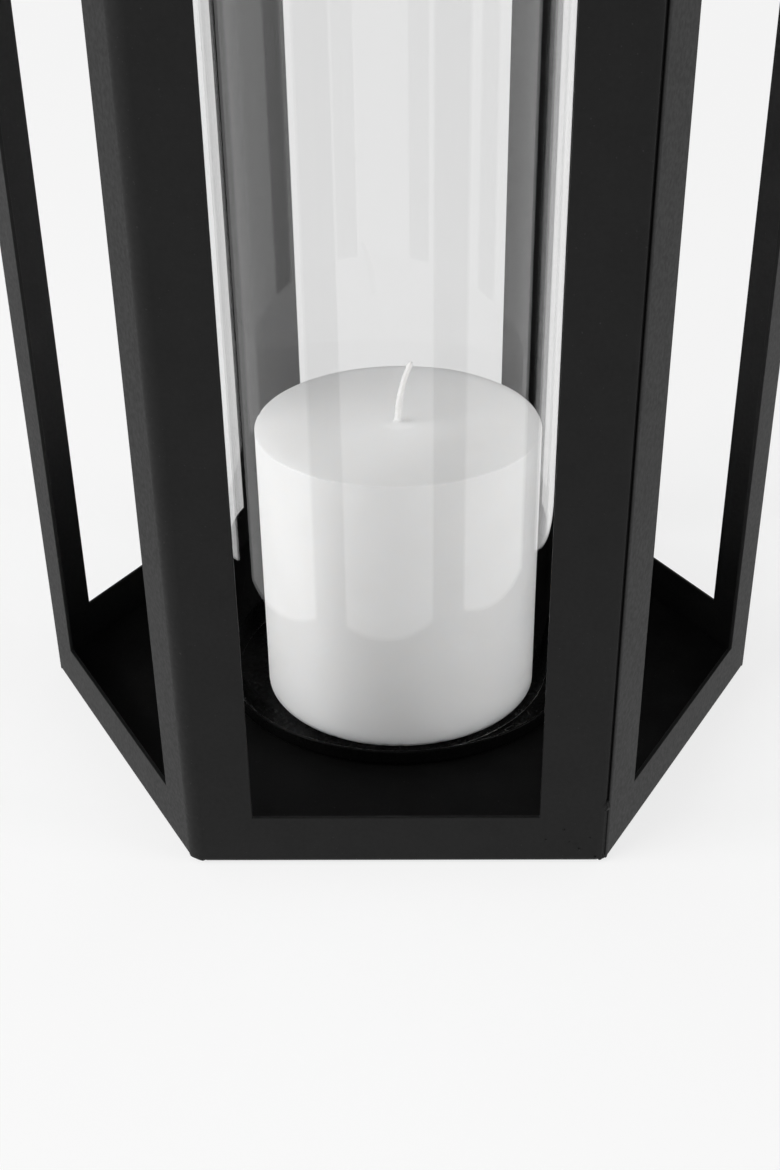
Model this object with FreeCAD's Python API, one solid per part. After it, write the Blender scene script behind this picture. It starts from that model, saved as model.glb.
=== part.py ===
import FreeCAD, Part
import math
import os

# Candle lantern. A six-sided cage of sheet steel is folded in two halves and welded at two
# opposite corners. A base plate inside it carries a shallow dish, in which a loose glass tube
# and a pillar candle stand. A plate with a round opening closes the top, and a wire bail swings
# on two holes in the upper bands.
# Millimetres, +Z up, the front panel faces -Y. The origin lies under the middle of the cage,
# on the surface that the lantern stands on.

# Cage
SIDE = 100.0             # width of one panel between its sharp outer corners
BODY_HEIGHT = 300.0      # from the lower return flange to the upper one
SHEET = 1.0              # thickness of the folded sheet
POST_WIDTH = 15.0        # from a folded corner, taken as sharp, to the window beside it
SEAM_POST = 16.2         # the same at a corner where the halves meet
LOWER_BAND = 13.8        # from the foot of the cage to the window sill
FLANGE_WIDTH = 10.0      # return flange, folded inwards at the top and at the foot
CORNER_BEND = 4.0        # inside radius of the four folded corners
SEAM_BEND = 2.0          # inside radius of the two corners where the halves meet
FLANGE_BEND = 0.4        # inside radius of the return flange's fold
SLIT_WIDTH = 0.8         # relief slit at the ends of each folded corner
SLIT_HEIGHT = 1.6
RELIEF_RISE = 0.8        # height by which the flange ends lift at a corner
RELIEF_REACH = 5.0       # distance from the corner at which they are down again

# Seams
SEAM_GAP = 0.8           # gap between the two halves, welded from inside
SEAM_GROOVE = 0.6        # depth of the groove that stays open outside
WELD_HEIGHT = 17.0       # length at its foot and its head where a seam is filled further
WELD_RECESS = 0.25       # depth of the groove there, where the weld is ground
TACK_RADIUS = 1.6        # bead that ends each ground length
TACK_PROUD = 0.6

# Base plate, top plate and pads
BASE_SHEET = 1.0
TOP_SHEET = 1.0
TOP_ROOM = 2.0           # by which the top plate's opening is wider than the dish, on the radius
PLATE_PLAY = 0.3         # from a plate's edge to the fold of the flange that it lies on
PAD_RADIUS = 6.0
PAD_PROUD = 0.4          # height by which the pads lift the cage off its surface
PAD_MARGIN = 1.5         # from a pad to the edge of the flange

# Candle
CANDLE_DIAMETER = 75.0
CANDLE_HEIGHT = 78.0
FOOT_ROUND = 1.6         # rounding of the candle's lower edge
RIM_ROUND = 0.6          # rounding of its upper edge
WICK_DIAMETER = 2.0
WICK_FREE = 17.0         # length of wick above the wax
WICK_LEAN = 24.0         # degrees from upright at the tip, towards +X
TAB_DIAMETER = 18.0      # pressed steel tab that holds the wick in the foot of the candle
TAB_SHEET = 0.4
TAB_NECK = 4.0           # height of the neck crimped round the wick
TAB_INSET = 0.3          # the tab lies this far up inside the wax
WAX_FIT = 0.02           # wax to tab and wick

# Glass tube
CANDLE_PLAY = 6.1        # from the candle to the glass, when it stands in the glass's middle
CANDLE_GAP = 1.35        # the same where they are nearest, as the candle stands
CANDLE_SIDE = 311.0      # degrees from +X to that place
GLASS_WALL = 1.4
GLASS_PROUD = 6.0        # height of the glass above the cage

# Dish
DISH_ROOM = 5.8          # from the glass to the dish's wall, when it stands in the dish's middle
GLASS_GAP = 1.75         # the same where they are nearest, as the glass stands
GLASS_SIDE = 220.0       # degrees from +X to that place
DISH_SHEET = 0.8
DISH_DEPTH = 5.1         # from the base plate to the rim
DISH_BEND = 1.2          # inside radius between its floor and its wall

# Bail and its two push nuts
ROD_DIAMETER = 5.0
ROD_BEND = 6.0           # radius of the bend between arm and pivot, on the rod's middle line
GRIP_BEND = 45.0         # radius of the bend between arm and grip
ARM_STANDOFF = 1.0       # straight pivot between the panel and that bend
BAIL_DROP = 28.0         # degrees below level at which the bail leans on the cage
BAIL_REST = 0.3          # from the bail to the corner that it leans on
PIVOT_CLEARANCE = 0.08   # rod to hole, on the radius
PIVOT_PLAY = 0.4         # panel to push nut
PIVOT_TAIL = 1.5         # end of the rod past its nut
NUT_DIAMETER = 9.0
NUT_SHEET = 0.6
NUT_RISE = 1.2           # height of the coned middle above the rim
NUT_FIT = 0.02
NUT_SLITS = 6
NUT_SLIT_WIDTH = 0.5
NUT_ROOM = 0.8           # from the nut to the top plate
BAND_EDGE = 1.5          # from the nut to the lower edge of the upper band

# Corners are numbered every sixty degrees from +X. The halves meet at the front right corner
# and at the one across from it.
SEAMS = (5, 2)
front_seam, rear_seam = SEAMS
STEP = 60.0
HALF_STEP = 30.0
COS_HALF = math.cos(math.radians(HALF_STEP))
TAN_HALF = math.tan(math.radians(HALF_STEP))
UP = FreeCAD.Vector(0, 0, 1)
ACROSS = FreeCAD.Vector(0, 1, 0)
CENTRE = FreeCAD.Vector(0, 0, 0)
FLAT = 1e-4              # an edge is level when its ends differ by less
PAST = 2.0               # length by which a cutting shape runs past what it cuts

outer_apothem = SIDE * COS_HALF
inner_apothem = outer_apothem - SHEET
opening_apothem = outer_apothem - FLANGE_WIDTH
plate_apothem = inner_apothem - FLANGE_BEND - PLATE_PLAY
corner_face = SIDE - (CORNER_BEND + SHEET) * (1 / COS_HALF - 1)
seam_face = SIDE - (SEAM_BEND + SHEET) * (1 / COS_HALF - 1)
cage_foot = PAD_PROUD
cage_top = cage_foot + BODY_HEIGHT
base_face = cage_foot + SHEET + BASE_SHEET
seat = base_face + DISH_SHEET
top_under = cage_top - SHEET - TOP_SHEET
pivot_height = top_under - NUT_ROOM - NUT_DIAMETER / 2
upper_sill = pivot_height - NUT_DIAMETER / 2 - BAND_EDGE
candle_radius = CANDLE_DIAMETER / 2
bore_radius = candle_radius + CANDLE_PLAY
glass_radius = bore_radius + GLASS_WALL
room_radius = glass_radius + DISH_ROOM
opening_radius = room_radius + TOP_ROOM
rod_radius = ROD_DIAMETER / 2
wick_radius = WICK_DIAMETER / 2


def turned(shape, degrees):
    """A copy turned about the cage's axis."""
    copy = shape.copy()
    copy.rotate(CENTRE, UP, degrees)
    return copy


def direction(degrees, length=1.0):
    angle = math.radians(degrees)
    return FreeCAD.Vector(length * math.cos(angle), length * math.sin(angle), 0)


def level_edges(shape, height):
    """The edges that lie level at one height."""
    found = []
    for edge in shape.Edges:
        box = edge.BoundBox
        if abs(box.ZMin - height) < FLAT and abs(box.ZMax - height) < FLAT:
            found.append(edge)
    return found


def block(length, width, low, high):
    """A box along X, centred on the axis."""
    corner = FreeCAD.Vector(-length / 2, -width / 2, low)
    return Part.makeBox(length, width, high - low, corner)


def drum(radius, low, high):
    return Part.makeCylinder(radius, high - low, FreeCAD.Vector(0, 0, low))


def hexagon(apothem, fold, seam, low, high):
    """A six-sided prism with rounded corners: one radius at the folds, another at the seams."""
    corner = apothem / COS_HALF
    arcs = []
    for index in range(6):
        radius = seam if index in SEAMS else fold
        angle = STEP * index
        point = direction(angle, corner)
        start = point - direction(angle + STEP, radius * TAN_HALF)
        middle = direction(angle, corner - radius / COS_HALF + radius)
        end = point + direction(angle + 2 * STEP, radius * TAN_HALF)
        arcs.append((start, middle, end))
    edges = []
    for index, (start, middle, end) in enumerate(arcs):
        following = arcs[(index + 1) % 6][0]
        edges.append(Part.Arc(start, middle, end).toShape())
        edges.append(Part.LineSegment(end, following).toShape())
    outline = Part.Face(Part.Wire(edges))
    outline.translate(FreeCAD.Vector(0, 0, low))
    return outline.extrude(FreeCAD.Vector(0, 0, high - low))


def folded_box(inset, low, high):
    """The cage's outline set in by a distance, with its top and bottom edges bent to match."""
    bend = SHEET - inset
    box = hexagon(outer_apothem - inset, CORNER_BEND + bend, SEAM_BEND + bend, low, high)
    edges = level_edges(box, low) + level_edges(box, high)
    return box.makeFillet(FLANGE_BEND + bend, edges)


def sharp_hexagon(apothem):
    """A tall six-sided prism with sharp corners."""
    corner = apothem / COS_HALF
    points = [direction(STEP * index, corner) for index in range(7)]
    outline = Part.Face(Part.makePolygon(points))
    outline.translate(FreeCAD.Vector(0, 0, cage_foot - PAST))
    return outline.extrude(FreeCAD.Vector(0, 0, BODY_HEIGHT + 2 * PAST))


def corner_relief(index):
    """What is cut away at the foot and the head of a corner so that the flanges can fold."""
    corner = direction(STEP * index, SIDE)
    low = Part.makeCone(RELIEF_REACH, 0, RELIEF_RISE, corner + UP * cage_foot)
    high = Part.makeCone(RELIEF_REACH, 0, RELIEF_RISE, corner + UP * cage_top, UP * -1)
    cuts = [low, high]
    if index not in SEAMS:
        foot = (cage_foot - PAST, cage_foot + SLIT_HEIGHT)
        head = (cage_top - SLIT_HEIGHT, cage_top + PAST)
        for start, end in (foot, head):
            slit = block(2 * FLANGE_WIDTH + PAST, SLIT_WIDTH, start, end)
            slit.translate(FreeCAD.Vector(SIDE - FLANGE_WIDTH, 0, 0))
            cuts.append(turned(slit, STEP * index))
    return cuts


def window(index):
    """The opening of the panel between a corner and the next one."""
    before, after = (SEAM_POST if corner % 6 in SEAMS else POST_WIDTH for corner in (index, index + 1))
    opening = block(2 * PAST + SHEET, SIDE - before - after, cage_foot + LOWER_BAND, upper_sill)
    opening.translate(FreeCAD.Vector(outer_apothem - SHEET / 2, (before - after) / 2, 0))
    return turned(opening, STEP * index + HALF_STEP)


def whole_cage():
    """All six panels with their windows, flanges, pivot holes and corner reliefs, still in one."""
    shell = folded_box(0.0, cage_foot, cage_top)
    shell = shell.cut(folded_box(SHEET, cage_foot + SHEET, cage_top - SHEET))
    cuts = [sharp_hexagon(opening_apothem)]
    for index in range(6):
        cuts.append(window(index))
        cuts.extend(corner_relief(index))
    pivot_start = FreeCAD.Vector(0, -SIDE, pivot_height)
    cuts.append(Part.makeCylinder(rod_radius + PIVOT_CLEARANCE, 2 * SIDE, pivot_start, ACROSS))
    return shell.cut(cuts)


def cage_pieces():
    """The two folded halves and the welds that join them at the seams."""
    cage = whole_cage()
    gap = turned(block(3 * SIDE, SEAM_GAP, cage_foot - PAST, cage_top + PAST), STEP * front_seam)
    across = direction(STEP * front_seam + 90)
    halves = sorted(cage.cut(gap).Solids, key=lambda half: half.CenterOfMass.dot(across))
    joint = cage.common(gap)
    pieces = {"left_frame_half": halves[0], "right_frame_half": halves[1]}
    pieces["front_seam_weld"] = seam_weld(front_seam, joint)
    pieces["rear_seam_weld"] = seam_weld(rear_seam, joint)
    return pieces


def seam_weld(index, joint):
    """One seam: a weld up its inside, filled further at the foot and the head, where beads end it."""
    wall = direction(STEP * index, seam_face)
    across = direction(STEP * index + 90)
    bead_place = direction(STEP * index, seam_face + TACK_PROUD - TACK_RADIUS) - across * (SEAM_GAP / 2)
    near = 2 * (SHEET + SEAM_BEND)

    def filling(groove, start, end):
        """What fills the seam between two heights, up to a groove on the outside."""
        zone = Part.makeCylinder(near, end - start, wall + UP * start)
        return joint.common(folded_box(groove, cage_foot + groove, cage_top - groove)).common(zone)

    foot_end = cage_foot + WELD_HEIGHT
    head_end = cage_top - WELD_HEIGHT
    ground = [filling(WELD_RECESS, cage_foot, foot_end), filling(WELD_RECESS, head_end, cage_top)]
    for height in (foot_end, head_end):
        ground.append(Part.makeCylinder(TACK_RADIUS, SEAM_GAP, bead_place + UP * height, across))
    return filling(SEAM_GROOVE, cage_foot, cage_top).fuse(ground).removeSplitter()


def base_plate():
    """The floor of the lantern, spot welded on the lower return flange."""
    return hexagon(plate_apothem, CORNER_BEND, SEAM_BEND, cage_foot + SHEET, base_face)


def top_plate():
    """The top, spot welded under the upper return flange, with the opening for the glass."""
    plate = hexagon(plate_apothem, CORNER_BEND, SEAM_BEND, top_under, cage_top - SHEET)
    return plate.cut(drum(opening_radius, top_under - PAST, cage_top + PAST))


def foot_pads():
    """Felt discs under the base plate: one in each corner of the flange's opening, one in the middle."""
    circle = (opening_apothem - PAD_RADIUS - PAD_MARGIN) / COS_HALF
    disc = drum(PAD_RADIUS, 0, cage_foot + SHEET)
    pads = {"middle_pad": disc}
    for index in range(6):
        pad = disc.copy()
        pad.translate(direction(STEP * index, circle))
        pads[f"foot_pad_{index + 1}"] = pad
    return pads


def candle_dish():
    """The shallow dish on the base plate, pressed from sheet, with a rounded rim."""
    rim = base_face + DISH_DEPTH
    outside = drum(room_radius + DISH_SHEET, base_face, rim)
    outside = outside.makeFillet(DISH_BEND + DISH_SHEET, level_edges(outside, base_face))
    inside = drum(room_radius, seat, rim)
    inside = inside.makeFillet(DISH_BEND, level_edges(inside, seat))
    dish = outside.cut(inside)
    return dish.makeFillet(DISH_SHEET / 2 - FLAT, level_edges(dish, rim))


def glass_cylinder():
    """The open tube that shields the flame, with both ends melted nearly half round."""
    top = cage_top + GLASS_PROUD
    tube = drum(glass_radius, seat, top).cut(drum(bore_radius, seat, top))
    return tube.makeFillet(0.4 * GLASS_WALL, level_edges(tube, seat) + level_edges(tube, top))


def pillar_candle():
    """The moulded wax, with its wick hole and the pocket for the tab."""
    top = seat + CANDLE_HEIGHT
    wax = drum(candle_radius, seat, top)
    wax = wax.makeFillet(FOOT_ROUND, level_edges(wax, seat))
    wax = wax.makeFillet(RIM_ROUND, level_edges(wax, top))
    tab_top = seat + TAB_INSET + TAB_SHEET
    pocket = drum(TAB_DIAMETER / 2 + WAX_FIT, seat - PAST, tab_top + WAX_FIT)
    neck = drum(wick_radius + TAB_SHEET + 2 * WAX_FIT, seat, tab_top + TAB_NECK + WAX_FIT)
    hole = drum(wick_radius + WAX_FIT, seat, top + PAST)
    return wax.cut([pocket, neck, hole])


def wick_tab():
    """The pressed disc with a neck that grips the lower end of the wick."""
    low = seat + TAB_INSET
    disc = drum(TAB_DIAMETER / 2, low, low + TAB_SHEET)
    neck = drum(wick_radius + TAB_SHEET + WAX_FIT, low, low + TAB_SHEET + TAB_NECK)
    hole = drum(wick_radius + WAX_FIT, low - PAST, low + TAB_SHEET + TAB_NECK + PAST)
    return disc.fuse(neck).removeSplitter().cut(hole)


def wick():
    """The waxed cotton wick, straight in the candle and curved where it stands free."""
    foot = FreeCAD.Vector(0, 0, seat + TAB_INSET)
    top = FreeCAD.Vector(0, 0, seat + CANDLE_HEIGHT)
    lean = math.radians(WICK_LEAN)
    radius = WICK_FREE / lean

    def along(angle):
        return top + FreeCAD.Vector(radius * (1 - math.cos(angle)), 0, radius * math.sin(angle))

    straight = Part.LineSegment(foot, top).toShape()
    curved = Part.Arc(top, along(lean / 2), along(lean)).toShape()
    path = Part.Wire([straight, curved])
    section = Part.Wire(Part.Circle(foot, UP, wick_radius).toShape())
    return path.makePipeShell([section], True, False)


def bail_handle():
    """The wire bail: two arms and a grip, with the ends bent inwards through the pivot holes."""
    arm = outer_apothem + ARM_STANDOFF + ROD_BEND
    reach = (corner_face + rod_radius + BAIL_REST) / math.cos(math.radians(BAIL_DROP))
    tail = inner_apothem - PIVOT_PLAY - NUT_RISE - NUT_SHEET - PIVOT_TAIL
    shoulder = arm - ROD_BEND
    arm_end = reach - GRIP_BEND
    grip_end = arm - GRIP_BEND
    diagonal = 1 - math.cos(math.radians(45))

    def at(along, side):
        return FreeCAD.Vector(along, side, 0)

    def half(side):
        """The pivot, the arm and both bends on one side, from the rod's end to the grip."""
        elbow = at(ROD_BEND * diagonal, side * (arm - ROD_BEND * diagonal))
        knuckle = at(reach - GRIP_BEND * diagonal, side * (arm - GRIP_BEND * diagonal))
        return [
            Part.LineSegment(at(0, side * tail), at(0, side * shoulder)).toShape(),
            Part.Arc(at(0, side * shoulder), elbow, at(ROD_BEND, side * arm)).toShape(),
            Part.LineSegment(at(ROD_BEND, side * arm), at(arm_end, side * arm)).toShape(),
            Part.Arc(at(arm_end, side * arm), knuckle, at(reach, side * grip_end)).toShape(),
        ]

    grip = Part.LineSegment(at(reach, -grip_end), at(reach, grip_end)).toShape()
    path = Part.Wire(half(-1) + [grip] + half(1)[::-1])
    section = Part.Wire(Part.Circle(at(0, -tail), ACROSS, rod_radius).toShape())
    bail = path.makePipeShell([section], True, False)
    bail.rotate(CENTRE, ACROSS, BAIL_DROP)
    bail.translate(UP * pivot_height)
    return bail


def push_nut(side):
    """A coned spring washer that keeps the rod's end inside its panel: side -1 front, 1 rear."""
    hole = rod_radius + NUT_FIT
    rim = NUT_DIAMETER / 2
    profile = [(rim, 0), (rim, NUT_SHEET), (hole, NUT_RISE + NUT_SHEET), (hole, NUT_RISE), (rim, 0)]
    points = [FreeCAD.Vector(radius, 0, height) for radius, height in profile]
    nut = Part.Face(Part.makePolygon(points)).revolve(CENTRE, UP, 360)
    slit_end = (hole + rim) / 2
    slit_corner = FreeCAD.Vector(0, -NUT_SLIT_WIDTH / 2, 0)
    slit = Part.makeBox(slit_end, NUT_SLIT_WIDTH, NUT_RISE + NUT_SHEET, slit_corner)
    nut = nut.cut([turned(slit, 360 * index / NUT_SLITS) for index in range(NUT_SLITS)])
    nut.rotate(CENTRE, FreeCAD.Vector(1, 0, 0), 90 * side)
    nut.translate(FreeCAD.Vector(0, side * (inner_apothem - PIVOT_PLAY), pivot_height))
    return nut


pieces = cage_pieces()
pieces["base_plate"] = base_plate()
pieces["top_plate"] = top_plate()
pieces.update(foot_pads())
pieces["candle_dish"] = candle_dish()

# The glass stands loose in the dish, and the candle loose in the glass.
glass_place = direction(GLASS_SIDE, DISH_ROOM - GLASS_GAP)
candle_place = glass_place + direction(CANDLE_SIDE, CANDLE_PLAY - CANDLE_GAP)
loose = {
    "glass_cylinder": (glass_cylinder(), glass_place),
    "pillar_candle": (pillar_candle(), candle_place),
    "wick_tab": (wick_tab(), candle_place),
    "wick": (wick(), candle_place),
}
for name, (piece, place) in loose.items():
    piece.translate(place)
    pieces[name] = piece

pieces["bail_handle"] = bail_handle()
pieces["front_push_nut"] = push_nut(-1)
pieces["rear_push_nut"] = push_nut(1)

os.makedirs("parts", exist_ok=True)
for name, piece in pieces.items():
    piece.exportStep(f"parts/{name}.step")
    box = piece.BoundBox
    print(f"{name}: {len(piece.Solids)} solid, valid {piece.isValid()}, {piece.Volume:.0f} mm3,"
          f" X {box.XMin:.2f} to {box.XMax:.2f}, Y {box.YMin:.2f} to {box.YMax:.2f},"
          f" Z {box.ZMin:.2f} to {box.ZMax:.2f}")
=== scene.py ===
import math

import bmesh
import bpy
from mathutils import Matrix, Vector, noise


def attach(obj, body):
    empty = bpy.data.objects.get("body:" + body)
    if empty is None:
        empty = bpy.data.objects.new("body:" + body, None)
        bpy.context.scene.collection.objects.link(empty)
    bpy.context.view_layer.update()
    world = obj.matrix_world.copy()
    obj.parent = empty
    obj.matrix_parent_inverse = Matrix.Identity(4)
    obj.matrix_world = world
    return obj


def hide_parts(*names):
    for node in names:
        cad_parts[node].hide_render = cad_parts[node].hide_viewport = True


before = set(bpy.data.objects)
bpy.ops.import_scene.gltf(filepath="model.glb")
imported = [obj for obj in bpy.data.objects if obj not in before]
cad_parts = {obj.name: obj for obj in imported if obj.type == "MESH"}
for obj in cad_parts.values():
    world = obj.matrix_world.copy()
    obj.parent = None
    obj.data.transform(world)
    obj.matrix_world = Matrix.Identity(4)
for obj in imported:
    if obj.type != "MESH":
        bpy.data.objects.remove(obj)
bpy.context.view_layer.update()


# The two cage halves. Each is one sheet of steel with three windows cut out, folded at two
# corners, with return flanges at its foot and head. The second is the same blank turned round.

MM = 0.001
PANEL = 100.0 * MM            # between sharp corners
SHEET = 1.0 * MM
APOTHEM = PANEL * math.cos(math.radians(30))
FOOT = 0.4 * MM
HEAD = 300.4 * MM
FLANGE = 10.0 * MM
FOLD = 1.4 * MM               # outer radius of the flange's fold
CORNER = 5.0 * MM             # outer radius of a folded corner
SEAM = 3.0 * MM               # outer radius of a welded corner
SEAM_GAP = 0.8 * MM
RELIEF_LOW, RELIEF_HIGH = 0.34 * MM, 0.68 * MM   # by which a corner ends short of the foot
MITRE_GAP = 0.5 * MM
WINDOW = 35.0 * MM            # from a panel's middle to a window's edge
SEAM_WINDOW = 33.8 * MM       # and to an edge beside a seam
SILL = 14.2 * MM
LINTEL = 287.1 * MM
PIVOT_HEIGHT = 293.1 * MM
PIVOT_HOLE = 2.58 * MM
PIVOT_ZONE = 6.0 * MM
HOLE_STEPS = 10               # in a quarter of a pivot hole
HALF_CORNER = 30.0            # degrees between a panel and the middle of a corner
FOLD_LEANS = (0.0, 7.5, 15.0, 22.5, HALF_CORNER)
SEAM_LEANS = (0.0, 8.0, 16.0, None)   # None is the lean at which the seam's gap begins
FLANGE_TURNS = (90.0, 60.0, 30.0, 0.0)
COAT_EASE = 0.2 * MM          # the coat rounds every cut edge
EASE_STEPS = 3
EASED_ANGLE = math.radians(40)
CLOUD_LOW, CLOUD_HIGH = 0.3, 0.7   # nearly all of a cloudy pattern lies between these
MOTTLE, FLECKS, SKIN = 90.0, 1500.0, 900.0   # the coat's patterns, in clouds per metre
FLECK_LOW, FLECK_HIGH = 0.73, 0.80   # only the densest clouds show as flecks
FLECK_TONE, FLECK_SHARE = (0.10, 0.10, 0.10), 0.2
SKIN_DEPTH = 0.006 * MM
CAGE_DARK, CAGE_LIGHT = (0.002, 0.002, 0.002), (0.004, 0.004, 0.004)


def add_node(tree, kind, inputs=None, **settings):
    """A shader node; an input is given as a number, a colour or the socket that feeds it."""
    node = tree.nodes.new(kind)
    for key, value in settings.items():
        setattr(node, key, value)
    for key, value in (inputs or {}).items():
        if isinstance(value, bpy.types.NodeSocket):
            tree.links.new(value, node.inputs[key])
        else:
            node.inputs[key].default_value = value
    return node


def new_finish(name):
    """An empty surface finish: its material, node tree, main shader and place on the piece."""
    finish = bpy.data.materials.new(name)
    finish.use_nodes = True
    tree = finish.node_tree
    shader = tree.nodes["Principled BSDF"]
    place = add_node(tree, "ShaderNodeTexCoord").outputs["Object"]
    return finish, tree, shader, place


def grain(tree, place, scale, detail=2.0, roughness=0.5):
    """A cloudy pattern from 0 to 1; scale is in clouds per metre."""
    inputs = {"Vector": place, "Scale": scale, "Detail": detail, "Roughness": roughness}
    return add_node(tree, "ShaderNodeTexNoise", inputs).outputs["Fac"]


def between(tree, source, low, high, new_low, new_high):
    """A pattern's range from low to high, spread over new_low to new_high."""
    inputs = {"Value": source, "From Min": low, "From Max": high, "To Min": new_low, "To Max": new_high}
    return add_node(tree, "ShaderNodeMapRange", inputs).outputs["Result"]


def blend_colours(tree, share, first, second):
    """A mix of two colours, or of sockets that give colours, by a share from 0 to 1."""
    mix = add_node(tree, "ShaderNodeMix", data_type="RGBA")
    tree.links.new(share, mix.inputs[0])
    for index, colour in ((6, first), (7, second)):
        if isinstance(colour, bpy.types.NodeSocket):
            tree.links.new(colour, mix.inputs[index])
        else:
            mix.inputs[index].default_value = (*colour, 1.0)
    return mix.outputs[2]


def relief(tree, shader, height, depth):
    """Raises the surface by a pattern, by depth in metres."""
    bump = add_node(tree, "ShaderNodeBump", {"Height": height, "Distance": depth, "Strength": 1.0})
    tree.links.new(bump.outputs["Normal"], shader.inputs["Normal"])


def powder_coat(name, dark, light, smooth, rough, gloss):
    """Black powder coat: a faint mottle, pale flecks of dust and an orange-peel skin."""
    finish, tree, shader, place = new_finish(name)
    mottle = grain(tree, place, MOTTLE, detail=4.0, roughness=0.65)
    tone = blend_colours(tree, between(tree, mottle, CLOUD_LOW, CLOUD_HIGH, 0.0, 1.0), dark, light)
    dust = grain(tree, place, FLECKS, detail=1.0)
    flecks = between(tree, dust, FLECK_LOW, FLECK_HIGH, 0.0, FLECK_SHARE)
    tone = blend_colours(tree, flecks, tone, FLECK_TONE)
    tree.links.new(tone, shader.inputs["Base Color"])
    skin = grain(tree, place, SKIN)
    roughness = between(tree, skin, CLOUD_LOW, CLOUD_HIGH, smooth, rough)
    tree.links.new(roughness, shader.inputs["Roughness"])
    shader.inputs["Specular IOR Level"].default_value = gloss
    relief(tree, shader, skin, SKIN_DEPTH)
    return finish


def add_piece(name, body, finish, rides_on, nodes=(), ease=None):
    """Makes a piece from a mesh in place, smooth except at sharp edges, and joins it to the frame."""
    mesh = bpy.data.meshes.new(name)
    bmesh.ops.recalc_face_normals(body, faces=body.faces)
    body.to_mesh(mesh)
    body.free()
    mesh.shade_smooth()
    mesh.set_sharp_from_angle(angle=EASED_ANGLE)
    mesh.materials.append(finish)
    piece = bpy.data.objects.new(name, mesh)
    bpy.context.scene.collection.objects.link(piece)
    if ease:
        mesh.set_sharp_from_angle(angle=math.pi)
        edge = piece.modifiers.new("eased", "BEVEL")
        edge.width = ease
        edge.segments = EASE_STEPS
        edge.limit_method = "ANGLE"
        edge.angle_limit = EASED_ANGLE
        edge.use_clamp_overlap = False
    even = piece.modifiers.new("even", "WEIGHTED_NORMAL")
    even.keep_sharp = True
    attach(piece, rides_on)
    if nodes:
        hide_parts(*nodes)
    return piece


def sheet_lines():
    """The upright lines on a half, in order: panel, place on it, side, bend radius and lean."""
    lines = []
    for panel in range(3):
        left_edge = SEAM_WINDOW if panel == 0 else WINDOW
        right_edge = SEAM_WINDOW if panel == 2 else WINDOW
        for side in (-1, 1):
            welded = (panel, side) in ((0, -1), (2, 1))
            bend = SEAM if welded else CORNER
            leans = SEAM_LEANS if welded else FOLD_LEANS
            flat_end = side * (PANEL / 2 - bend * math.tan(math.radians(HALF_CORNER)))
            ends = [(panel, flat_end, side, bend, lean) for lean in leans]
            if side < 0:
                ends = ends[::-1] if welded else ends[-2::-1]
            lines += ends
            if side < 0:
                for place in (-left_edge, -PIVOT_ZONE, PIVOT_ZONE, right_edge):
                    lines.append((panel, place, 1, 0.0, 0.0))
    return lines


def sheet_rows():
    """The level lines from the lower flange's edge to the upper one's, on the outer and inner faces."""
    rows = [((FLANGE, FOOT), (FLANGE, FOOT + SHEET))]
    for turn in FLANGE_TURNS:
        inward, down = math.cos(math.radians(turn)), math.sin(math.radians(turn))
        radii = (FOLD, FOLD - SHEET)
        rows.append(tuple((FOLD - radius * inward, FOOT + FOLD - radius * down) for radius in radii))
    rows.append(((0.0, SILL), (SHEET, SILL)))
    upper = [tuple((inset, FOOT + HEAD - height) for inset, height in row) for row in rows]
    upper[-1] = ((0.0, LINTEL), (SHEET, LINTEL))
    return rows + upper[::-1]


# Which of these rows are a corner's lower edge, the sill, the lintel and a corner's upper edge
LOW_EDGE, SILL_ROW, LINTEL_ROW, HIGH_EDGE = 3, 5, 6, 8


def sheet_point(line, row, inner):
    """Where an upright and a level line cross, on the outer or the inner face."""
    panel, place, side, bend, lean = line
    inset, height = row[inner]
    if lean is None:
        lean = HALF_CORNER - math.degrees(math.asin(SEAM_GAP / 2 / (bend - inset)))
    tilt = math.radians(lean)
    along = place + side * (bend - inset) * math.sin(tilt)
    depth = bend - (bend - inset) * math.cos(tilt)
    limit = (APOTHEM - depth) * math.tan(math.radians(HALF_CORNER)) - MITRE_GAP
    if not lean:
        along = max(-limit, min(limit, along))
    facing = math.radians(270.0 - 60.0 * panel)
    out = APOTHEM - depth
    x = out * math.cos(facing) + along * math.sin(facing)
    y = out * math.sin(facing) - along * math.cos(facing)
    return Vector((x, y, height))


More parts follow.
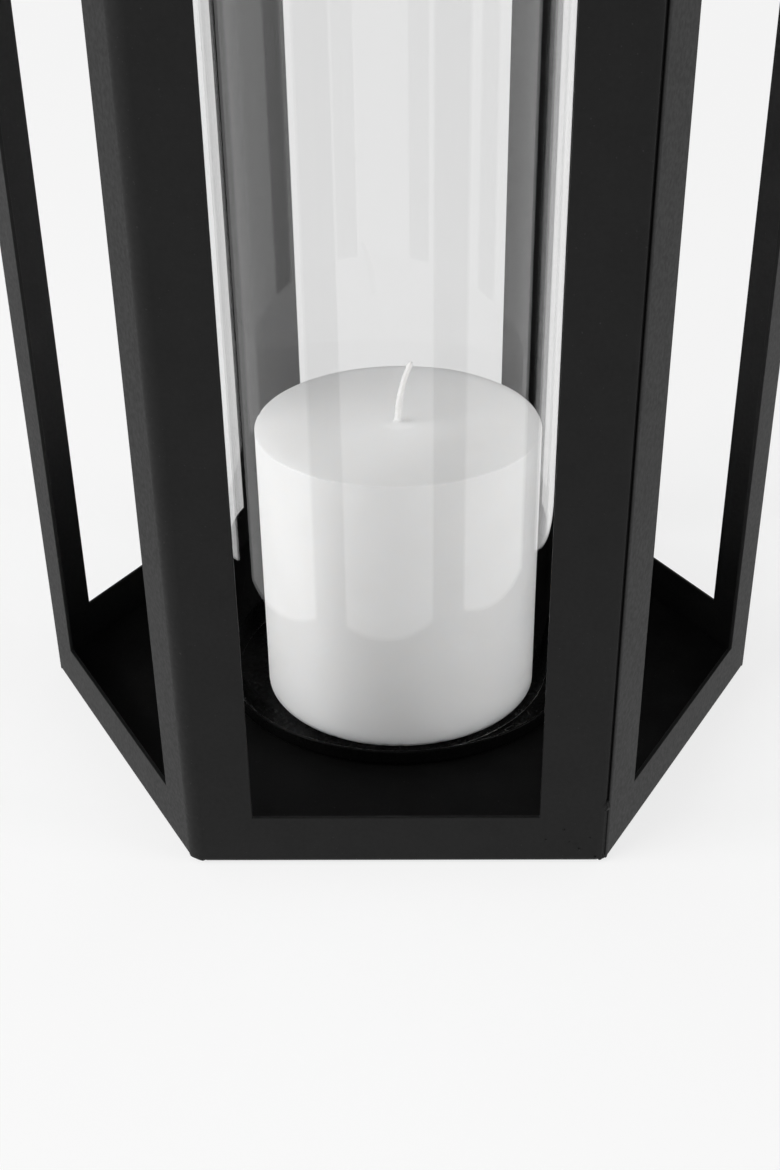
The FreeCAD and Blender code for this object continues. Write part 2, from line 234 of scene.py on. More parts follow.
def folded_half():
    """One folded half as a closed mesh: both faces of the sheet and all its cut edges."""
    lines, rows = sheet_lines(), sheet_rows()
    body = bmesh.new()
    points = {}

    def point(i, j, inner):
        if (i, j, inner) not in points:
            row = rows[j]
            lean = lines[i][4]
            if lean != 0.0 and j in (LOW_EDGE, HIGH_EDGE):
                share = 1.0 if lean is None else lean / HALF_CORNER
                rise = RELIEF_LOW + (RELIEF_HIGH - RELIEF_LOW) * share
                height = FOOT + rise if j == LOW_EDGE else HEAD - rise
                row = ((0.0, height), (SHEET, height))
            points[i, j, inner] = body.verts.new(sheet_point(lines[i], row, inner))
        return points[i, j, inner]

    def has_sheet(i, j):
        first, second = lines[i], lines[i + 1]
        if first[4] != 0.0 or second[4] != 0.0:
            return LOW_EDGE <= j < HIGH_EDGE
        in_window = abs(first[1]) <= WINDOW and abs(second[1]) <= WINDOW
        return not (in_window and j == SILL_ROW)

    borders = {}
    for i in range(len(lines) - 1):
        for j in range(len(rows) - 1):
            if not has_sheet(i, j):
                continue
            ring = ((i, j), (i + 1, j), (i + 1, j + 1), (i, j + 1))
            for start, end in zip(ring, ring[1:] + ring[:1]):
                key = (min(start, end), max(start, end))
                borders[key] = borders.get(key, 0) + 1
            pivot_zone = lines[i][0] == 0 and abs(lines[i][1]) == abs(lines[i + 1][1]) == PIVOT_ZONE
            if not pivot_zone or j != LINTEL_ROW:
                for inner in (0, 1):
                    body.faces.new([point(*place, inner) for place in ring])
                continue
            circles = []
            for inner in (0, 1):
                circle = []
                for step in range(4 * HOLE_STEPS):
                    angle = math.radians(225.0 + 90.0 * step / HOLE_STEPS)
                    place = (0, PIVOT_HOLE * math.cos(angle), 1, 0.0, 0.0)
                    height = PIVOT_HEIGHT + PIVOT_HOLE * math.sin(angle)
                    spot = sheet_point(place, ((0.0, height), (SHEET, height)), inner)
                    circle.append(body.verts.new(spot))
                circles.append(circle)
                for quarter in range(4):
                    start = quarter * HOLE_STEPS
                    rim = [circle[(start + step) % len(circle)] for step in range(HOLE_STEPS, -1, -1)]
                    corners = [point(*ring[quarter], inner), point(*ring[(quarter + 1) % 4], inner)]
                    body.faces.new(corners + rim)
            near, far = circles
            for step in range(4 * HOLE_STEPS):
                after = (step + 1) % (4 * HOLE_STEPS)
                body.faces.new((near[step], near[after], far[after], far[step]))
    for (start, end), count in borders.items():
        if count == 1:
            body.faces.new((point(*start, 0), point(*end, 0), point(*end, 1), point(*start, 1)))
    return body


cage_coat = powder_coat("black_powder_coat", CAGE_DARK, CAGE_LIGHT, smooth=0.52, rough=0.62, gloss=0.23)
for half, turn in (("left_frame_half", 0.0), ("right_frame_half", math.pi)):
    blank = folded_half()
    bmesh.ops.rotate(blank, verts=blank.verts, cent=(0, 0, 0), matrix=Matrix.Rotation(turn, 3, "Z"))
    sheet = half.replace("frame_half", "folded_sheet")
    add_piece(sheet, blank, cage_coat, "cage", [half], COAT_EASE)


# The seam welds. The halves are welded from inside at two corners, so that a groove stays open, and
# from outside at foot and head, ground flush. A bead ends each of these, and a few grains of spatter
# lie beside the foot of the front one.

WELD_HEIGHT = 17.0 * MM
SEAM_FACE = PANEL - SEAM * (1 / math.cos(math.radians(HALF_CORNER)) - 1)
BEAD = Vector((1.0, 1.0, 1.5)) * MM
BEAD_SUNK = 0.55 * MM
BEAD_UNEVEN = 0.25
BEAD_WAVES = 1.7              # bumps per radius
END_BEAD = Vector((1.6, 1.6, 1.2)) * MM   # closes the corner under the fold at the foot and the head
FRONT_SEAM, REAR_SEAM = 300.0, 120.0
# Spatter near the foot of the front seam, in mm: across the front panel, up, and radius
SPATTER = ((39.7, 10.4, 0.26), (35.5, 7.3, 0.24), (43.6, 4.5, 0.28), (46.1, 7.9, 0.2),
           (47.6, 1.9, 0.34), (41.2, 6.6, 0.18))


def dress(node, finish):
    """Gives a solid that keeps its shape its finish."""
    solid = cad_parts[node]
    solid.data.materials.clear()
    solid.data.materials.append(finish)


def add_lump(body, centre, size, uneven):
    """Adds a small uneven grain of metal."""
    made = bmesh.ops.create_icosphere(body, subdivisions=3, radius=1.0)
    for vertex in made["verts"]:
        swell = 1.0 + uneven * noise.noise(vertex.co * BEAD_WAVES + centre / MM)
        vertex.co = centre + vertex.co * size * swell


for seam, facing in (("front_seam", FRONT_SEAM), ("rear_seam", REAR_SEAM)):
    dress(seam + "_weld", cage_coat)
    outward = Vector((math.cos(math.radians(facing)), math.sin(math.radians(facing)), 0.0))
    grains = bmesh.new()
    for height in (FOOT + WELD_HEIGHT, HEAD - WELD_HEIGHT):
        spot = outward * (SEAM_FACE - BEAD_SUNK) + Vector((0.0, 0.0, height))
        add_lump(grains, spot, BEAD, BEAD_UNEVEN)
    for height in (FOOT + END_BEAD.z, HEAD - END_BEAD.z):
        spot = outward * (SEAM_FACE - END_BEAD.x) + Vector((0.0, 0.0, height))
        add_lump(grains, spot, END_BEAD, 0.0)
    if seam == "front_seam":
        for across, up, radius in SPATTER:
            spot = Vector((across * MM, -APOTHEM, up * MM))
            add_lump(grains, spot, Vector((radius, radius, radius)) * MM, BEAD_UNEVEN)
    add_piece(seam + "_beads", grains, cage_coat, "cage")


# The base plate, a flat sheet spot welded on the lower flange, and the top plate under the upper
# one, with a round opening that the glass lifts through. The top has the cage's coat, the base a
# flatter one.

PLATE_APOTHEM = 84.9 * MM
PLATE_FOLD = 4.0 * MM         # corner radius inside a folded corner
PLATE_SEAM = 2.0 * MM         # and inside a welded one
BASE_LOW, BASE_HIGH = 1.4 * MM, 2.4 * MM
TOP_LOW, TOP_HIGH = 298.4 * MM, 299.4 * MM
TOP_OPENING = 52.8 * MM
SIDE_STEPS = 24
CORNER_STEPS = 4
BASE_DARK, BASE_LIGHT = (0.005, 0.005, 0.005), (0.008, 0.008, 0.008)


def plate_outline():
    """Points round a plate, anticlockwise from the front panel's left end."""
    points = []
    half_turn = math.tan(math.radians(HALF_CORNER))
    for panel in range(6):
        facing = math.radians(270.0 + 60.0 * panel)
        normal = Vector((math.cos(facing), math.sin(facing)))
        along = Vector((-math.sin(facing), math.cos(facing)))
        before, after = (PLATE_SEAM if corner % 3 == 0 else PLATE_FOLD for corner in (panel - 1, panel))
        start = (before - PLATE_APOTHEM) * half_turn
        end = (PLATE_APOTHEM - after) * half_turn
        for step in range(SIDE_STEPS + 1):
            points.append(normal * PLATE_APOTHEM + along * (start + (end - start) * step / SIDE_STEPS))
        middle = normal * (PLATE_APOTHEM - after) + along * end
        for step in range(1, CORNER_STEPS):
            tilt = math.radians(2 * HALF_CORNER * step / CORNER_STEPS)
            points.append(middle + (normal * math.cos(tilt) + along * math.sin(tilt)) * after)
    return points


def flat_plate(low, high, opening):
    """A plate with a round opening, or with none where its radius is zero."""
    body = bmesh.new()
    outline = plate_outline()
    hole = [point.normalized() * opening for point in outline] if opening else []
    outer = [[body.verts.new((*point, height)) for point in outline] for height in (low, high)]
    inner = [[body.verts.new((*point, height)) for point in hole] for height in (low, high)]
    for step in range(len(outline)):
        after = (step + 1) % len(outline)
        for under, over in (outer, inner) if opening else (outer,):
            body.faces.new((under[step], under[after], over[after], over[step]))
        if opening:
            for rim, edge in zip(outer, inner):
                body.faces.new((rim[step], rim[after], edge[after], edge[step]))
    if not opening:
        for rim in outer:
            body.faces.new(rim)
    return body


base_coat = powder_coat("flat_black_coat", BASE_DARK, BASE_LIGHT, smooth=0.5, rough=0.6, gloss=0.04)
base_sheet = flat_plate(BASE_LOW, BASE_HIGH, 0.0)
add_piece("floor_sheet", base_sheet, base_coat, "cage", ["base_plate"], COAT_EASE)
top_sheet = flat_plate(TOP_LOW, TOP_HIGH, TOP_OPENING)
add_piece("top_sheet", top_sheet, cage_coat, "cage", ["top_plate"], COAT_EASE)


# The felt pads that the lantern stands on, punched from black needle felt and glued under the base
# plate: one in each corner and one in the middle.

PAD_RADIUS = 6.0 * MM
PAD_CIRCLE = 79.79 * MM
PAD_ROUND = 0.35 * MM
PAD_STEPS = 64
FELT_DARK, FELT_LIGHT = (0.010, 0.010, 0.010), (0.055, 0.055, 0.055)
FIBRES = 2200.0               # clouds per metre
FIBRE_DEPTH = 0.15 * MM


def arc(centre, radius, start, end, steps):
    """Points on a circle in a profile, from one angle in degrees to another."""
    points = []
    for step in range(steps + 1):
        angle = math.radians(start + (end - start) * step / steps)
        points.append((centre[0] + radius * math.cos(angle), centre[1] + radius * math.sin(angle)))
    return points


def revolved(profile, steps, centre=(0.0, 0.0)):
    """A closed body turned about an upright axis. A profile that starts on the axis ends on it too."""
    body = bmesh.new()
    rings = []
    for radius, height in profile:
        count = steps if radius > 0.0 else 1
        ring = []
        for step in range(count):
            angle = 2 * math.pi * step / count
            across = (centre[0] + radius * math.cos(angle), centre[1] + radius * math.sin(angle))
            ring.append(body.verts.new((*across, height)))
        rings.append(ring)
    if len(rings[0]) > 1:
        rings.append(rings[0])
    for low, high in zip(rings, rings[1:]):
        for step in range(steps):
            after = step + 1
            corners = [low[step % len(low)], low[after % len(low)]]
            corners += [high[after % len(high)], high[step % len(high)]]
            corners = list(dict.fromkeys(corners))
            if len(corners) > 2:
                body.faces.new(corners)
    return body


felt, felt_tree, felt_shader, felt_place = new_finish("black_felt")
fibres = grain(felt_tree, felt_place, FIBRES, detail=6.0, roughness=0.8)
felt_tone = blend_colours(felt_tree, fibres, FELT_DARK, FELT_LIGHT)
felt_tree.links.new(felt_tone, felt_shader.inputs["Base Color"])
felt_rough = between(felt_tree, fibres, CLOUD_LOW, CLOUD_HIGH, 0.85, 1.0)
felt_tree.links.new(felt_rough, felt_shader.inputs["Roughness"])
felt_shader.inputs["Specular IOR Level"].default_value = 0.1
relief(felt_tree, felt_shader, fibres, FIBRE_DEPTH)

pad_profile = [(0.0, 0.0)]
pad_profile += arc((PAD_RADIUS - PAD_ROUND, PAD_ROUND), PAD_ROUND, -90, 0, steps=5)
pad_profile += [(PAD_RADIUS, BASE_LOW), (0.0, BASE_LOW)]
pad_places = {"middle_pad": (0.0, 0.0)}
for number in range(6):
    angle = math.radians(60 * number)
    pad_places[f"foot_pad_{number + 1}"] = (PAD_CIRCLE * math.cos(angle), PAD_CIRCLE * math.sin(angle))
for pad, place in pad_places.items():
    disc = revolved(pad_profile, PAD_STEPS, place)
    add_piece(pad.replace("pad", "felt"), disc, felt, "cage", [pad])


# The candle dish, pressed from thin sheet with a rounded wall and rim, coated a little smoother
# than the cage. It lies on the middle of the base plate.

DISH_INNER = 50.8 * MM
DISH_SHEET = 0.8 * MM
DISH_BEND = 1.2 * MM
DISH_RIM = 7.5 * MM
DISH_DARK, DISH_LIGHT = (0.002, 0.002, 0.002), (0.004, 0.004, 0.004)
ROUND_STEPS = 360

dish_seat = BASE_HIGH + DISH_SHEET
dish_turn = (DISH_INNER - DISH_BEND, dish_seat + DISH_BEND)
rim_round = DISH_SHEET / 2
dish_profile = [(0.0, BASE_HIGH)]
dish_profile += arc(dish_turn, DISH_BEND + DISH_SHEET, -90, 0, steps=8)
dish_profile += arc((DISH_INNER + rim_round, DISH_RIM - rim_round), rim_round, 0, 180, steps=10)
dish_profile += arc(dish_turn, DISH_BEND, 0, -90, steps=8)
dish_profile += [(0.0, dish_seat)]
dish_coat = powder_coat("dish_black_coat", DISH_DARK, DISH_LIGHT, smooth=0.24, rough=0.32, gloss=0.05)
dish = revolved(dish_profile, ROUND_STEPS)
add_piece("pressed_dish", dish, dish_coat, "cage", ["candle_dish"])


# The wick tab, a disc of tinned steel with a neck crimped round the lower end of the wick, moulded
# into the foot of the candle.

TIN_DARK, TIN_LIGHT = (0.50, 0.50, 0.50), (0.66, 0.66, 0.66)
SCRATCHES = 1800.0            # clouds per metre
SCRATCH_DEPTH = 0.01 * MM

tin, tin_tree, tin_shader, tin_place = new_finish("tinned_steel")
scratches = grain(tin_tree, tin_place, SCRATCHES, detail=5.0, roughness=0.7)
tin_tone = blend_colours(tin_tree, scratches, TIN_DARK, TIN_LIGHT)
tin_tree.links.new(tin_tone, tin_shader.inputs["Base Color"])
tin_rough = between(tin_tree, scratches, CLOUD_LOW, CLOUD_HIGH, 0.25, 0.4)
tin_tree.links.new(tin_rough, tin_shader.inputs["Roughness"])
tin_shader.inputs["Metallic"].default_value = 1.0
relief(tin_tree, tin_shader, scratches, SCRATCH_DEPTH)
dress("wick_tab", tin)


# The wick, three twisted cotton strands soaked in wax, so that the twist is nearly filled. It runs
# up through the candle and leans to the right where it stands free.

CANDLE_PLACE = Vector((0.014, -6.188)) * MM
CANDLE_TOP = 81.2 * MM
WICK_RADIUS = 1.0 * MM
WICK_FOOT = 3.5 * MM
WICK_FREE = 17.0 * MM
WICK_LEAN = math.radians(24)  # at the tip
WICK_TWIST = 5.0 * MM         # length of one turn of the strands
WICK_GROOVE = 0.06            # depth of the grooves between them, as a share of the radius
WICK_THINNING = 0.28          # share of the radius that is lost towards the tip
WICK_TIP = 0.6                # radius of the very tip, as a share
TIP_GAIN = 0.2                # what that share regains at each step below the tip
WICK_STEP = 0.4 * MM
ROD_SIDES = 36
COTTON_DARK, COTTON_LIGHT = (0.74, 0.735, 0.725), (0.84, 0.835, 0.825)
THREADS = 2500.0              # clouds per metre
THREAD_DEPTH = 0.03 * MM
WARM_SPREAD = (1.0, 0.97, 0.94)   # how far each colour of light spreads in cotton and wax


def swept(body, path, section):
    """Adds a rod along a path; section gives its radius at a point of the path and an angle."""
    rings = []
    for index, spot in enumerate(path):
        ahead = (path[min(index + 1, len(path) - 1)] - path[max(index - 1, 0)]).normalized()
        if index == 0:
            across = ahead.orthogonal().normalized()
        across = (across - ahead * across.dot(ahead)).normalized()
        upward = ahead.cross(across)
        ring = []
        for step in range(ROD_SIDES):
            angle = 2 * math.pi * step / ROD_SIDES
            offset = across * math.cos(angle) + upward * math.sin(angle)
            ring.append(body.verts.new(spot + offset * section(index, angle)))
        rings.append(ring)
    for low, high in zip(rings, rings[1:]):
        for step in range(ROD_SIDES):
            after = (step + 1) % ROD_SIDES
            body.faces.new((low[step], low[after], high[after], high[step]))
    body.faces.new(rings[0])
    body.faces.new(rings[-1])


cotton, cotton_tree, cotton_shader, cotton_place = new_finish("waxed_cotton")
threads = grain(cotton_tree, cotton_place, THREADS, detail=4.0, roughness=0.7)
cotton_tone = blend_colours(cotton_tree, threads, COTTON_DARK, COTTON_LIGHT)
cotton_tree.links.new(cotton_tone, cotton_shader.inputs["Base Color"])
cotton_rough = between(cotton_tree, threads, CLOUD_LOW, CLOUD_HIGH, 0.5, 0.7)
cotton_tree.links.new(cotton_rough, cotton_shader.inputs["Roughness"])
cotton_shader.inputs["Subsurface Weight"].default_value = 0.3
cotton_shader.inputs["Subsurface Radius"].default_value = WARM_SPREAD
cotton_shader.inputs["Subsurface Scale"].default_value = 0.5 * MM
relief(cotton_tree, cotton_shader, threads, THREAD_DEPTH)

wick_path = []
wick_length = CANDLE_TOP - WICK_FOOT + WICK_FREE
for index in range(round(wick_length / WICK_STEP) + 1):
    free = WICK_FOOT + index * WICK_STEP - CANDLE_TOP
    lean = max(0.0, free) / WICK_FREE * WICK_LEAN
    bend = WICK_FREE / WICK_LEAN
    rise = bend * math.sin(lean) if free > 0.0 else free
    across = CANDLE_PLACE.x + bend * (1 - math.cos(lean))
    wick_path.append(Vector((across, CANDLE_PLACE.y, CANDLE_TOP + rise)))


def wick_section(index, angle):
    """The wick's radius at a point of its path: three strands that turn, thinner towards the tip."""
    turn = 2 * math.pi * index * WICK_STEP / WICK_TWIST
    free = max(0.0, WICK_FOOT + index * WICK_STEP - CANDLE_TOP) / WICK_FREE
    tip = min(1.0, WICK_TIP + TIP_GAIN * (len(wick_path) - 1 - index))
    radius = WICK_RADIUS * tip * (1.0 - WICK_THINNING * free)
    return radius * (1.0 - WICK_GROOVE + WICK_GROOVE * math.cos(3 * (angle - turn)))


strands = bmesh.new()
swept(strands, wick_path, wick_section)
add_piece("twisted_wick", strands, cotton, "candle", ["wick"])


# The pillar candle, moulded white wax. The mould rounds its foot. Its top is trimmed sharp, a little
# wavy, sunk round the wick and drawn up on it, and its edges and side carry the marks of handling.

CANDLE_RADIUS = 37.5 * MM
CANDLE_FOOT = 1.6 * MM
CANDLE_RIM = 0.2 * MM
CANDLE_ROWS = 80
TAB_POCKET = 9.02 * MM
TAB_ROOF = 3.92 * MM
TOP_WAVE, TOP_WAVES = 0.12 * MM, 90.0      # height, and waves per metre
SIDE_WAVE, SIDE_WAVES = 0.05 * MM, 55.0
TOP_LEVEL = 0.98              # share of the height from which the top's waves count
WICK_COLLAR = WICK_RADIUS * 3   # within this the wax is drawn up on the wick
WAX_DARK, WAX_LIGHT = (0.89, 0.89, 0.885), (0.93, 0.93, 0.925)
WAX_CLOUDS, WAX_SKIN = 60.0, 700.0         # clouds per metre
WAX_DEPTH = 0.003 * MM
# The top from the rim inwards, in mm: distance from the wick and drop below the rim
TOP_SINK = ((34.0, 0.0), (31.0, 0.0), (28.0, 0.0), (25.0, 0.0), (22.0, 0.02), (19.0, 0.04),
            (16.0, 0.07), (13.0, 0.11), (10.0, 0.16), (7.5, 0.2), (5.0, 0.22), (3.5, 0.22),
            (2.6, 0.2), (2.0, 0.16), (1.6, 0.06), (1.35, -0.08), (1.15, -0.3), (1.02, -0.6),
            (0.0, -0.7))
# Dents in the rim, the foot and the side, in degrees and mm: angle, height, radius and depth
DENTS = ((-164.0, 81.1, 1.6, 0.35), (-157.0, 81.2, 1.2, 0.25), (-149.0, 81.0, 1.0, 0.3),
         (171.0, 81.1, 1.4, 0.3), (-28.0, 81.1, 1.3, 0.3), (-96.0, 3.9, 1.3, 0.45),
         (-90.0, 3.8, 1.5, 0.5), (-101.0, 3.6, 1.0, 0.3), (-118.0, 3.7, 1.1, 0.3),
         (-73.0, 3.8, 1.2, 0.35), (-94.6, 33.1, 1.2, 0.18), (-123.0, 21.4, 1.3, 0.2))

wax, wax_tree, wax_shader, wax_place = new_finish("white_wax")
cloudy = grain(wax_tree, wax_place, WAX_CLOUDS, detail=4.0, roughness=0.6)
clouds = between(wax_tree, cloudy, CLOUD_LOW, CLOUD_HIGH, 0.0, 1.0)
wax_tone = blend_colours(wax_tree, clouds, WAX_DARK, WAX_LIGHT)
wax_tree.links.new(wax_tone, wax_shader.inputs["Base Color"])
wax_skin = grain(wax_tree, wax_place, WAX_SKIN, detail=3.0)
wax_rough = between(wax_tree, wax_skin, CLOUD_LOW, CLOUD_HIGH, 0.5, 0.62)
wax_tree.links.new(wax_rough, wax_shader.inputs["Roughness"])
wax_shader.inputs["Subsurface Weight"].default_value = 0.9
wax_shader.inputs["Subsurface Radius"].default_value = WARM_SPREAD
wax_shader.inputs["Subsurface Scale"].default_value = 8.0 * MM
wax_shader.inputs["Specular IOR Level"].default_value = 0.25
relief(wax_tree, wax_shader, wax_skin, WAX_DEPTH)

candle_profile = [(0.0, TAB_ROOF), (TAB_POCKET, TAB_ROOF), (TAB_POCKET, dish_seat)]
side_low, side_high = dish_seat + CANDLE_FOOT, CANDLE_TOP - CANDLE_RIM
candle_profile += arc((CANDLE_RADIUS - CANDLE_FOOT, side_low), CANDLE_FOOT, -90, 0, steps=8)
for row in range(1, CANDLE_ROWS):
    candle_profile.append((CANDLE_RADIUS, side_low + (side_high - side_low) * row / CANDLE_ROWS))
candle_profile += arc((CANDLE_RADIUS - CANDLE_RIM, side_high), CANDLE_RIM, 0, 90, steps=6)
candle_profile += [(distance * MM, CANDLE_TOP - drop * MM) for distance, drop in TOP_SINK]
candle = revolved(candle_profile, ROUND_STEPS, CANDLE_PLACE)
for vertex in candle.verts:
    outward = Vector((*(vertex.co.xy - CANDLE_PLACE), 0.0))
    distance = outward.length
    outward.normalize()
    level = (vertex.co.z - dish_seat) / (CANDLE_TOP - dish_seat)
    push = wave = 0.0
    if distance > CANDLE_RADIUS - CANDLE_FOOT:
        push = SIDE_WAVE * noise.noise(vertex.co * SIDE_WAVES) - SIDE_WAVE
    if level > TOP_LEVEL and distance > WICK_COLLAR:
        wave = TOP_WAVE * noise.noise(vertex.co * TOP_WAVES) - TOP_WAVE
    for degrees, height, radius, depth in DENTS:
        facing = math.radians(degrees)
        spot = Vector((CANDLE_RADIUS * math.cos(facing), CANDLE_RADIUS * math.sin(facing), height * MM))
        spot += Vector((*CANDLE_PLACE, 0.0))
        near = max(0.0, 1.0 - ((vertex.co - spot).length / (radius * MM)) ** 2)
        push -= depth * MM * near ** 2
    vertex.co += outward * push + Vector((0.0, 0.0, wave))
add_piece("wax_pillar", candle, wax, "candle", ["pillar_candle"])


# The glass tube, drawn from clear glass with both ends melted round. It stands loose in the dish,
# round the candle. Its grey is painted shade, in place of the lantern's shadow on the floor behind it.

GLASS_PLACE = Vector((-3.102, -2.603)) * MM
GLASS_OUTER = 45.0 * MM
GLASS_INNER = 43.6 * MM
GLASS_TOP = 306.4 * MM
GLASS_LIP = 0.56 * MM
# The glass's grey is painted shade: it darkens what is seen through the tube in place of the lantern's
# shadow on the floor behind
GLASS_PAINTED_SHADE, SHADOW_TINT = (0.915, 0.915, 0.915, 1.0), (0.97, 0.97, 0.97, 1.0)
GLASS_WAVES = (60.0, 60.0, 4.0)   # per metre; the drawing stretches them upright
WAVE_DEPTH = 0.002 * MM

glass, glass_tree, glass_shader, glass_place = new_finish("clear_glass")
stretched = add_node(glass_tree, "ShaderNodeMapping", {"Vector": glass_place, "Scale": GLASS_WAVES})
waves = grain(glass_tree, stretched.outputs["Vector"], 1.0, detail=1.0)
relief(glass_tree, glass_shader, waves, WAVE_DEPTH)
glass_shader.inputs["Base Color"].default_value = GLASS_PAINTED_SHADE
glass_shader.inputs["Roughness"].default_value = 0.0
glass_shader.inputs["IOR"].default_value = 1.48
glass_shader.inputs["Transmission Weight"].default_value = 1.0
clear = add_node(glass_tree, "ShaderNodeBsdfTransparent", {"Color": SHADOW_TINT})
rays = add_node(glass_tree, "ShaderNodeLightPath")
lit_through = add_node(glass_tree, "ShaderNodeMixShader")
glass_tree.links.new(rays.outputs["Is Shadow Ray"], lit_through.inputs[0])
glass_tree.links.new(glass_shader.outputs["BSDF"], lit_through.inputs[1])
glass_tree.links.new(clear.outputs["BSDF"], lit_through.inputs[2])
glass_face = glass_tree.nodes["Material Output"]
glass_tree.links.new(lit_through.outputs["Shader"], glass_face.inputs["Surface"])

lip_out, lip_in = GLASS_OUTER - GLASS_LIP, GLASS_INNER + GLASS_LIP
lip_low, lip_high = dish_seat + GLASS_LIP, GLASS_TOP - GLASS_LIP
glass_profile = arc((lip_in, lip_low), GLASS_LIP, 180, 270, steps=8)
glass_profile += arc((lip_out, lip_low), GLASS_LIP, 270, 360, steps=8)
glass_profile += arc((lip_out, lip_high), GLASS_LIP, 0, 90, steps=8)
glass_profile += arc((lip_in, lip_high), GLASS_LIP, 90, 180, steps=8)
tube = revolved(glass_profile, ROUND_STEPS, GLASS_PLACE)
add_piece("glass_tube", tube, glass, "glass", ["glass_cylinder"])


# The bail, bent from 5 mm steel rod and coated like the cage. Its ends turn in through the upper
# bands, and coned spring washers of blackened steel, pushed onto them, keep them there.

ROD_RADIUS = 2.5 * MM
ROD_END = 0.5 * MM            # rounding of the rod's cut ends
BAIL_TAIL = 81.9025 * MM      # from the middle to the rod's end
BAIL_ARM = 93.6025 * MM       # from the middle to an arm
BAIL_REACH = 115.552 * MM     # from the pivots to the grip
ELBOW = 6.0 * MM
KNUCKLE = 45.0 * MM
BAIL_DROP = math.radians(28)  # below level
END_STEPS = (0.0, 0.1, 0.4, 1.0)   # where the rings of a rounded end lie, in shares of ROD_END
END_ROUND = (1.0, 0.56, 0.2)  # and what the first of them take off the radius, in the same
SPRING_DARK, SPRING_LIGHT = (0.06, 0.06, 0.065), (0.12, 0.12, 0.125)
HAZE = 900.0                  # clouds per metre

bail_side = [(0.0, BAIL_TAIL + ROD_END * share) for share in END_STEPS]
bail_side += arc((ELBOW, BAIL_ARM - ELBOW), ELBOW, 180, 90, steps=12)
bail_side += arc((BAIL_REACH - KNUCKLE, BAIL_ARM - KNUCKLE), KNUCKLE, 90, 0, steps=32)
bail_path = []
for along, across in bail_side + [(along, -across) for along, across in bail_side[::-1]]:
    place = (along * math.cos(BAIL_DROP), across, PIVOT_HEIGHT - along * math.sin(BAIL_DROP))
    bail_path.append(Vector(place))


def bail_section(index, angle):
    """The rod's radius at a point of its path, smaller at its rounded ends."""
    from_end = min(index, len(bail_path) - 1 - index)
    return ROD_RADIUS - ROD_END * (END_ROUND[from_end] if from_end < len(END_ROUND) else 0.0)


rod = bmesh.new()
swept(rod, bail_path, bail_section)
add_piece("bent_bail", rod, cage_coat, "handle", ["bail_handle"])

spring, spring_tree, spring_shader, spring_place = new_finish("blackened_spring_steel")
haze = grain(spring_tree, spring_place, HAZE, detail=4.0, roughness=0.6)
spring_tone = blend_colours(spring_tree, haze, SPRING_DARK, SPRING_LIGHT)
spring_tree.links.new(spring_tone, spring_shader.inputs["Base Color"])
spring_rough = between(spring_tree, haze, CLOUD_LOW, CLOUD_HIGH, 0.3, 0.45)
spring_tree.links.new(spring_rough, spring_shader.inputs["Roughness"])
spring_shader.inputs["Metallic"].default_value = 1.0
for nut in ("front_push_nut", "rear_push_nut"):
    dress(nut, spring)


# The white surface that the lantern stands on. What the picture shows of it, straight, mirrored or
# through the glass, is mostly plain white, more so far away, and the rest takes the lantern's shadow.

FLOOR_REACH = 8.0
NEAR_GLOW, FAR_GLOW = 0.72, 0.96   # share that is plain white
NEAR, FAR = 0.4, 3.0               # metres from the lantern
FLOOR_PAINT, WHITE = (0.96, 0.96, 0.96, 1.0), (1.0, 1.0, 1.0, 1.0)

floor_grid = bmesh.new()
bmesh.ops.create_grid(floor_grid, x_segments=1, y_segments=1, size=FLOOR_REACH)
floor_mesh = bpy.data.meshes.new("floor")
floor_grid.to_mesh(floor_mesh)
floor_grid.free()
floor = bpy.data.objects.new("floor", floor_mesh)
bpy.context.scene.collection.objects.link(floor)


def seen_share(tree):
    """1 for rays that end in the picture, straight, mirrored or through glass."""
    rays = add_node(tree, "ShaderNodeLightPath")
    share = rays.outputs["Is Camera Ray"]
    for kind in ("Is Glossy Ray", "Is Transmission Ray"):
        either = {0: share, 1: rays.outputs[kind]}
        share = add_node(tree, "ShaderNodeMath", either, operation="MAXIMUM").outputs[0]
    return share


white, white_tree, white_shader, white_place = new_finish("white_floor")
white_tree.nodes.remove(white_shader)
paint = add_node(white_tree, "ShaderNodeBsdfDiffuse", {"Color": FLOOR_PAINT})
glow = add_node(white_tree, "ShaderNodeEmission", {"Color": WHITE, "Strength": 1.0})
surface = add_node(white_tree, "ShaderNodeMixShader")
away = add_node(white_tree, "ShaderNodeVectorMath", {0: white_place}, operation="LENGTH")
most = between(white_tree, away.outputs["Value"], NEAR, FAR, NEAR_GLOW, FAR_GLOW)
share = between(white_tree, seen_share(white_tree), 0.0, 1.0, 0.0, most)
white_tree.links.new(share, surface.inputs[0])
white_tree.links.new(paint.outputs["BSDF"], surface.inputs[1])
white_tree.links.new(glow.outputs["Emission"], surface.inputs[2])
floor_face = white_tree.nodes["Material Output"]
white_tree.links.new(surface.outputs["Shader"], floor_face.inputs["Surface"])
floor_mesh.materials.append(white)


# The light: a pale room that is white near the horizon and dim overhead, a wide soft lamp high at
# the left, and weaker ones in front and at the right that lift the shaded sides.

ROOM_LIGHT = 0.42             # what falls on the lantern
ROOM_WHITE, ROOM_DIM = 0.95, 0.06   # what is seen at the horizon, and mirrored from overhead
ROOM_WHITE_SINE, ROOM_DIM_SINE = math.sin(math.radians(2)), math.sin(math.radians(22))

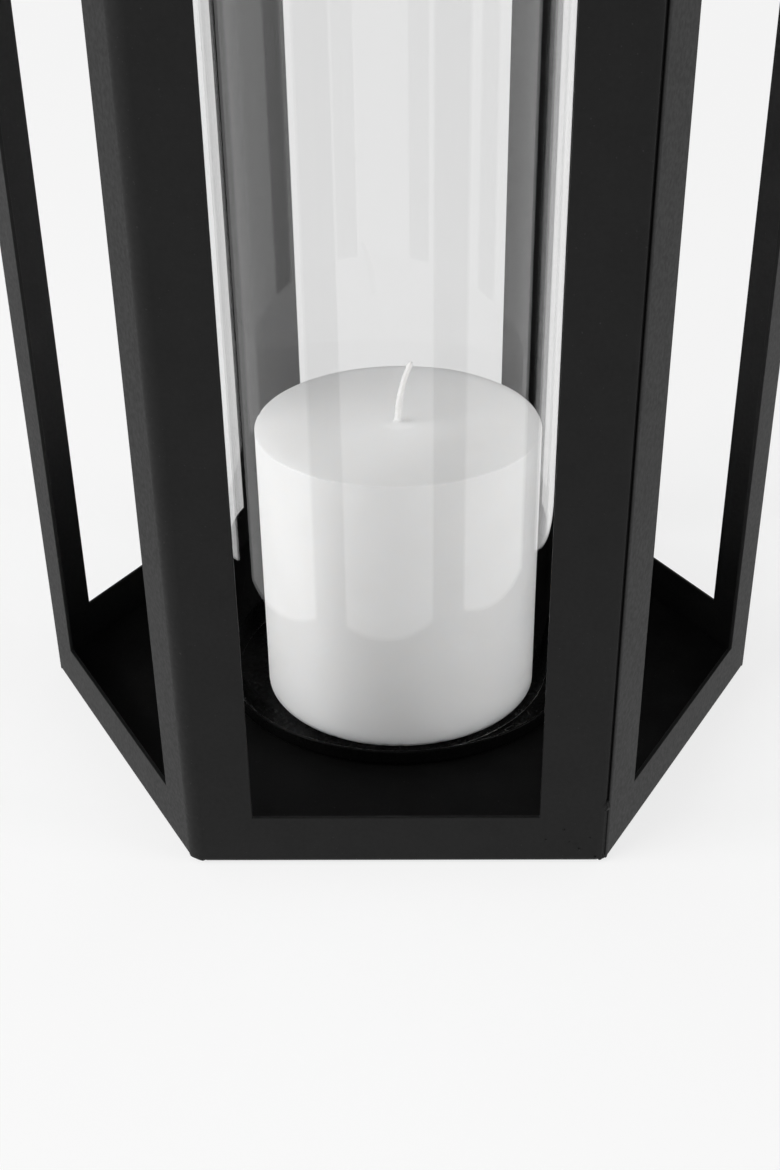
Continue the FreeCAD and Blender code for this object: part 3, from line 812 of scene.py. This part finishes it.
room = bpy.data.worlds.new("pale_room")
bpy.context.scene.world = room
room.use_nodes = True
room_tree = room.node_tree
sky = room_tree.nodes["Background"]
facing = add_node(room_tree, "ShaderNodeTexCoord").outputs["Generated"]
upward = add_node(room_tree, "ShaderNodeSeparateXYZ", {"Vector": facing}).outputs["Z"]
mirrored = add_node(room_tree, "ShaderNodeLightPath").outputs["Is Glossy Ray"]
overhead = between(room_tree, mirrored, 0.0, 1.0, ROOM_LIGHT, ROOM_DIM)
seen = between(room_tree, upward, ROOM_WHITE_SINE, ROOM_DIM_SINE, ROOM_WHITE, overhead)
strength = add_node(room_tree, "ShaderNodeMix", data_type="FLOAT")
room_tree.links.new(seen_share(room_tree), strength.inputs[0])
strength.inputs[2].default_value = ROOM_LIGHT
room_tree.links.new(seen, strength.inputs[3])
room_tree.links.new(strength.outputs[0], sky.inputs["Strength"])
sky.inputs["Color"].default_value = WHITE


def add_lamp(name, place, target, size, power):
    """A square soft lamp, aimed at a point."""
    data = bpy.data.lights.new(name, "AREA")
    data.size = size
    data.energy = power
    lamp = bpy.data.objects.new(name, data)
    bpy.context.scene.collection.objects.link(lamp)
    lamp.location = place
    lamp.rotation_euler = (Vector(target) - Vector(place)).to_track_quat("-Z", "Y").to_euler()


add_lamp("left_softbox", place=(-1.35, -0.65, 0.9), target=(0.0, 0.0, 0.1), size=1.2, power=18.6)
add_lamp("front_softbox", place=(-0.25, -1.5, 0.85), target=(0.0, 0.0, 0.05), size=0.8, power=3.0)
add_lamp("right_fill", place=(1.3, -0.45, 0.45), target=(0.0, 0.0, 0.05), size=0.6, power=5.8)


# The camera stands in front and a little above, close to the lantern, and looks down on its foot.

CAMERA_PLACE = (0.00405, -0.37663, 0.25171)
CAMERA_YAW = -0.01814
CAMERA_PITCH = 0.53693
CAMERA_ROLL = -0.0139
CAMERA_LENS, CAMERA_SENSOR = 47.72, 36.0

camera_data = bpy.data.cameras.new("camera")
camera_data.lens = CAMERA_LENS
camera_data.sensor_width = CAMERA_SENSOR
camera_data.clip_start = 0.01
camera = bpy.data.objects.new("camera", camera_data)
bpy.context.scene.collection.objects.link(camera)
ahead = Vector((math.sin(CAMERA_YAW) * math.cos(CAMERA_PITCH),
                math.cos(CAMERA_YAW) * math.cos(CAMERA_PITCH), -math.sin(CAMERA_PITCH)))
level = Vector((math.cos(CAMERA_YAW), -math.sin(CAMERA_YAW), 0.0))
upright = level.cross(ahead)
right = level * math.cos(CAMERA_ROLL) + upright * math.sin(CAMERA_ROLL)
top = upright * math.cos(CAMERA_ROLL) - level * math.sin(CAMERA_ROLL)
turned = Matrix((right, top, -ahead)).transposed().to_4x4()
camera.matrix_world = Matrix.Translation(CAMERA_PLACE) @ turned
bpy.context.scene.camera = camera
bpy.context.scene.view_settings.view_transform = "Standard"
